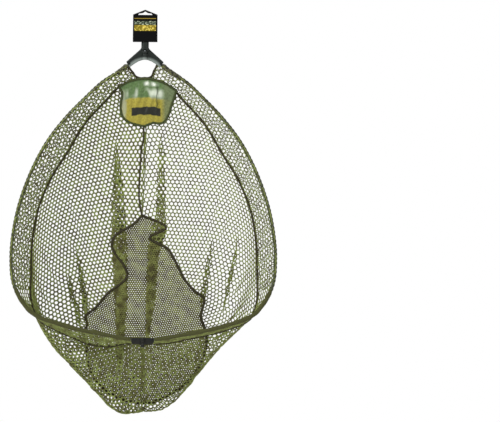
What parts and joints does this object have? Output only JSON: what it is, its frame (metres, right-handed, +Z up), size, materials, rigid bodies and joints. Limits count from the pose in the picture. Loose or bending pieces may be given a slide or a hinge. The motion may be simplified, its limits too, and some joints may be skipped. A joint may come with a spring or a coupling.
{
  "type": "landing net head",
  "caption": "Folding hoop landing net head with a deep mesh bag, hanging from its handle stud; the right half of the frame folds forward onto the left.",
  "frame": {"origin": "centre of the flat shoulder at the top of the spreader block, where a handle seats on the threaded stud", "axes": "+Z up along the stud and out of it, +X to the right of a person who looks into the mouth, +Y to the back of the bag; the mouth faces -Y"},
  "size_m": [0.6768, 0.1936, 1.0231],
  "materials": {
    "block_nylon": "moulded, glass-filled, dark grey-green",
    "hinge_nylon": "moulded, near black",
    "rod": "olive lacquer, satin",
    "sleeve_fabric": "olive woven sleeve",
    "netting": "knitted hexagon mesh, olive",
    "fine_netting": "knitted micro mesh, olive",
    "seam_tape": "folded binding tape, dark olive brown",
    "badge_fabric": "printed, coated",
    "card": "printed laminated card",
    "brass": "machined",
    "steel": "turned, bright"
  },
  "bodies": {
    "left_half": {"block_body": "block_nylon", "block_pivot_pin": "steel", "handle_stud": "brass", "lock_spring": "steel", "frame_rod_left": "rod", "socket_rivet_left": "steel", "front_hinge_leaf_left": "hinge_nylon", "front_hinge_pin": "steel", "hinge_rivet_left": "steel", "bar_sleeve_left": "sleeve_fabric", "net_whipping_left": "seam_tape", "opening_piping_left": "seam_tape", "rim_band_left": "netting", "rim_seam_left": "seam_tape", "bag_wall_left": "netting", "back_seam": "seam_tape", "base_seam_left": "seam_tape", "bag_base_left": "fine_netting", "badge_left": "badge_fabric"},
    "right_half": {"block_wing": "block_nylon", "frame_rod_right": "rod", "socket_rivet_right": "steel", "front_hinge_leaf_right": "hinge_nylon", "hinge_rivet_right": "steel", "bar_sleeve_right": "sleeve_fabric", "net_whipping_right": "seam_tape", "opening_piping_right": "seam_tape", "rim_band_right": "netting", "rim_seam_right": "seam_tape", "bag_wall_right": "netting", "base_seam_right": "seam_tape", "bag_base_right": "fine_netting", "badge_right": "badge_fabric"},
    "lock_slider": {"lock_slider": "hinge_nylon"},
    "hang_card": {"hang_card": "card"}
  },
  "joints": [
    {"name": "frame_fold", "type": "hinge", "parent": "left_half", "child": "right_half", "pos_m": [0, -0.009, -0.4], "axis": [0, 0, -1], "range_deg": [0, 180]},
    {"name": "lock_slide", "type": "slide", "parent": "left_half", "child": "lock_slider", "axis": [0, 0, 1], "range_m": [0, 0.004], "stiffness_N_per_m": 250, "springref_m": -0.004, "deforming": ["lock_spring"]},
    {"name": "card_lift", "type": "slide", "parent": "left_half", "child": "hang_card", "axis": [0, 0, 1], "range_m": [0, 0.09]}
  ]
}
